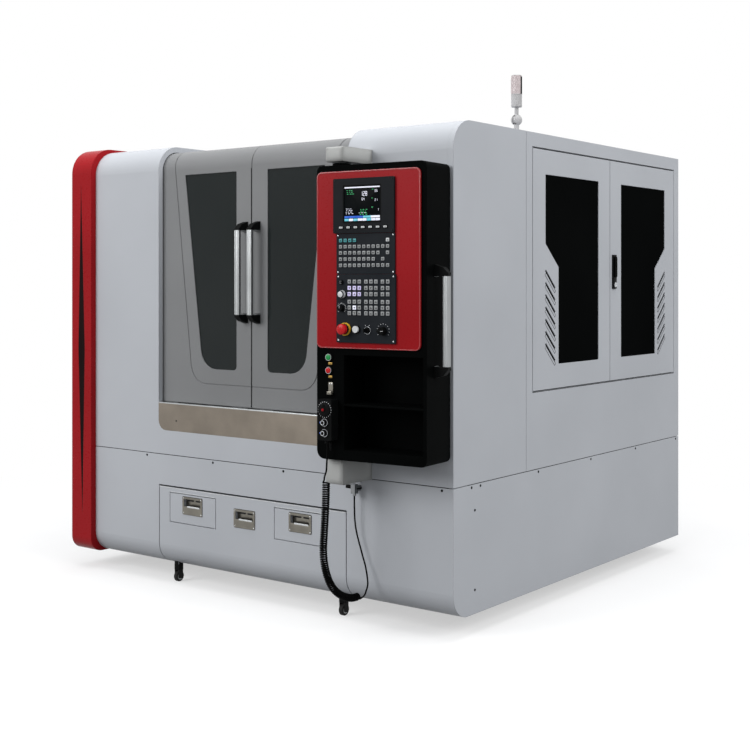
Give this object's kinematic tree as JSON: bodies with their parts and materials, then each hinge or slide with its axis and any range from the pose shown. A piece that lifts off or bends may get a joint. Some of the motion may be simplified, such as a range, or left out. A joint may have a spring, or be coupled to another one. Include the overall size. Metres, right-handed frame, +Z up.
{
  "type": "cnc engraving machine",
  "caption": "Fully enclosed CNC engraving machine with sliding front doors, hinged side doors, a swivelling operator pendant with a corded hand unit, and a roll-out coolant trolley.",
  "frame": {"origin": "centre of the part's box on the floor, the hand unit's cord left out", "axes": "+X to the operator's right, -Y towards the operator, +Z up"},
  "size_m": [2.25, 2.344, 2.237],
  "materials": {
    "white_paint": "fine powder coat",
    "grey_paint": "fine powder coat",
    "red_paint": "smooth powder coat",
    "black_paint": "satin powder coat",
    "tinted_glass": "tinted safety glass",
    "dark_glass": "dark safety glass",
    "stainless": "brushed",
    "aluminium": "satin anodised bar with black brackets",
    "cast_iron": "painted casting",
    "steel": "ground",
    "black_plastic": "fine grain",
    "red_plastic": "moulded",
    "green_plastic": "moulded",
    "white_plastic": "moulded",
    "clear_plastic": "clear lamp lens",
    "rubber": "moulded",
    "cord": "smooth jacket",
    "grey_plastic": "moulded"
  },
  "bodies": {
    "cabinet": {"red_end_frame": "red_paint", "taper_insert": "black_paint", "front_frame": "white_paint", "roof_panel": "white_paint", "left_wall": "white_paint", "right_wall": "white_paint", "rear_wall": "white_paint", "base_skirt": "white_paint", "sill_strip": "stainless", "pendant_arms": "white_paint", "levelling_feet": "cast_iron", "machine_bed": "cast_iron", "gantry_bridge": "cast_iron", "guideways": "steel", "servo_motors": "black_plastic", "lamp_mast": "steel", "cord_leads": "cord", "cord_coil": "cord", "cord_connector": "steel"},
    "table": {"work_table": "cast_iron"},
    "saddle": {"x_saddle": "cast_iron"},
    "head": {"z_head": "cast_iron"},
    "spindle": {"spindle_nose": "steel"},
    "left_door": {"door_left": "grey_paint", "door_left_glass": "tinted_glass", "door_handle_left": "aluminium"},
    "right_door": {"door_right": "grey_paint", "door_right_glass": "tinted_glass", "door_handle_right": "aluminium"},
    "front_side_door": {"side_door_front": "white_paint", "side_glass_front": "dark_glass"},
    "rear_side_door": {"side_door_rear": "white_paint", "side_glass_rear": "dark_glass"},
    "lock_lever": {"side_lock_lever": "black_paint"},
    "lamp": {"lamp_body": "grey_plastic", "lamp_lens": "clear_plastic"},
    "trolley": {"trolley_tank": "white_paint"},
    "left_drawer": {"drawer_left": "white_paint"},
    "right_drawer": {"drawer_right": "white_paint"},
    "front_left_wheel": {"wheel_front_left": "rubber"},
    "front_right_wheel": {"wheel_front_right": "rubber"},
    "rear_wheels": {"wheels_rear": "rubber"},
    "pendant": {"pendant_shell": "black_paint", "pendant_back": "black_paint", "pendant_face": "red_paint", "screen_unit": "black_plastic", "key_panel": "black_plastic", "operation_panel": "black_plastic", "pendant_handle": "aluminium", "hand_unit": "black_plastic"},
    "estop": {"estop_button": "red_plastic"},
    "push": {"push_button": "white_plastic"},
    "override": {"override_knob": "black_plastic"},
    "mode": {"mode_knob": "black_plastic"},
    "key": {"key_switch": "steel"},
    "start": {"start_button": "green_plastic"},
    "stop": {"stop_button": "red_plastic"},
    "dial": {"hand_dial": "black_plastic"},
    "axis_knob": {"hand_axis_knob": "steel"},
    "rate_knob": {"hand_rate_knob": "steel"}
  },
  "joints": [
    {"name": "left_door_slide", "type": "slide", "parent": "cabinet", "child": "left_door", "axis": [-1, 0, 0], "range_m": [0, 0.4]},
    {"name": "right_door_slide", "type": "slide", "parent": "cabinet", "child": "right_door", "axis": [1, 0, 0], "range_m": [0, 0.4]},
    {"name": "front_side_door_hinge", "type": "hinge", "parent": "cabinet", "child": "front_side_door", "pos_m": [1.05256, -0.28428, 1.418], "axis": [0, 0, 1], "range_deg": [-110, 0]},
    {"name": "rear_side_door_hinge", "type": "hinge", "parent": "cabinet", "child": "rear_side_door", "pos_m": [1.05256, 1.10372, 1.418], "axis": [0, 0, 1], "range_deg": [0, 110]},
    {"name": "lock_lever_turn", "type": "hinge", "parent": "rear_side_door", "child": "lock_lever", "pos_m": [1.06656, 0.44772, 1.467], "axis": [1, 0, 0], "range_deg": [0, 90]},
    {"name": "lamp_fold", "type": "hinge", "parent": "cabinet", "child": "lamp", "pos_m": [0.95956, -0.25528, 2.051], "axis": [1, 0, 0], "range_deg": [-90, 0]},
    {"name": "pendant_swivel", "type": "hinge", "parent": "cabinet", "child": "pendant", "pos_m": [0.63056, -1.02528, 1.245], "axis": [0, 0, 1], "range_deg": [-95, 0], "deforming": ["cord_leads", "cord_coil"]},
    {"name": "estop_press", "type": "slide", "parent": "pendant", "child": "estop", "axis": [-0.0872, 0.9962, 0], "range_m": [0, 0.004], "stiffness_N_per_m": 900},
    {"name": "push_press", "type": "slide", "parent": "pendant", "child": "push", "axis": [-0.0872, 0.9962, 0], "range_m": [0, 0.003], "stiffness_N_per_m": 900},
    {"name": "start_press", "type": "slide", "parent": "pendant", "child": "start", "axis": [-0.0872, 0.9962, 0], "range_m": [0, 0.004], "stiffness_N_per_m": 900},
    {"name": "stop_press", "type": "slide", "parent": "pendant", "child": "stop", "axis": [-0.0872, 0.9962, 0], "range_m": [0, 0.004], "stiffness_N_per_m": 900},
    {"name": "override_turn", "type": "hinge", "parent": "pendant", "child": "override", "pos_m": [0.70944, -1.12378, 1.267], "axis": [-0.0872, 0.9962, 0], "range_deg": [-140, 140]},
    {"name": "mode_turn", "type": "hinge", "parent": "pendant", "child": "mode", "pos_m": [0.89473, -1.10756, 1.184], "axis": [-0.0872, 0.9962, 0], "range_deg": [-75, 75]},
    {"name": "key_turn", "type": "hinge", "parent": "pendant", "child": "key", "pos_m": [0.825, -1.11367, 1.185], "axis": [-0.0872, 0.9962, 0], "range_deg": [0, 90]},
    {"name": "dial_turn", "type": "hinge", "parent": "pendant", "child": "dial", "pos_m": [0.65527, -1.15863, 0.881], "axis": [-0.0872, 0.9962, 0], "continuous": true},
    {"name": "axis_knob_turn", "type": "hinge", "parent": "pendant", "child": "axis_knob", "pos_m": [0.65428, -1.15872, 0.832], "axis": [-0.0872, 0.9962, 0], "range_deg": [-75, 75]},
    {"name": "rate_knob_turn", "type": "hinge", "parent": "pendant", "child": "rate_knob", "pos_m": [0.65428, -1.15872, 0.792], "axis": [-0.0872, 0.9962, 0], "range_deg": [-45, 45]},
    {"name": "trolley_pull", "type": "slide", "parent": "cabinet", "child": "trolley", "axis": [0, -1, 0], "range_m": [0, 0.75]},
    {"name": "left_drawer_pull", "type": "slide", "parent": "trolley", "child": "left_drawer", "axis": [0, -1, 0], "range_m": [0, 0.48]},
    {"name": "right_drawer_pull", "type": "slide", "parent": "trolley", "child": "right_drawer", "axis": [0, -1, 0], "range_m": [0, 0.48]},
    {"name": "front_left_wheel_roll", "type": "hinge", "parent": "trolley", "child": "front_left_wheel", "pos_m": [-0.48644, -0.82328, 0.024], "axis": [1, 0, 0], "continuous": true},
    {"name": "front_right_wheel_roll", "type": "hinge", "parent": "trolley", "child": "front_right_wheel", "pos_m": [0.47956, -0.82328, 0.024], "axis": [1, 0, 0], "continuous": true},
    {"name": "rear_wheels_roll", "type": "hinge", "parent": "trolley", "child": "rear_wheels", "pos_m": [-0.48644, -0.10528, 0.024], "axis": [1, 0, 0], "continuous": true},
    {"name": "y_axis", "type": "slide", "parent": "cabinet", "child": "table", "axis": [0, 1, 0], "range_m": [-0.2, 0.3]},
    {"name": "x_axis", "type": "slide", "parent": "cabinet", "child": "saddle", "axis": [1, 0, 0], "range_m": [-0.35, 0.35]},
    {"name": "z_axis", "type": "slide", "parent": "saddle", "child": "head", "axis": [0, 0, 1], "range_m": [-0.06, 0.2]},
    {"name": "spindle_spin", "type": "hinge", "parent": "head", "child": "spindle", "pos_m": [-0.00344, 0.09642, 0.98], "axis": [0, 0, 1], "continuous": true}
  ]
}
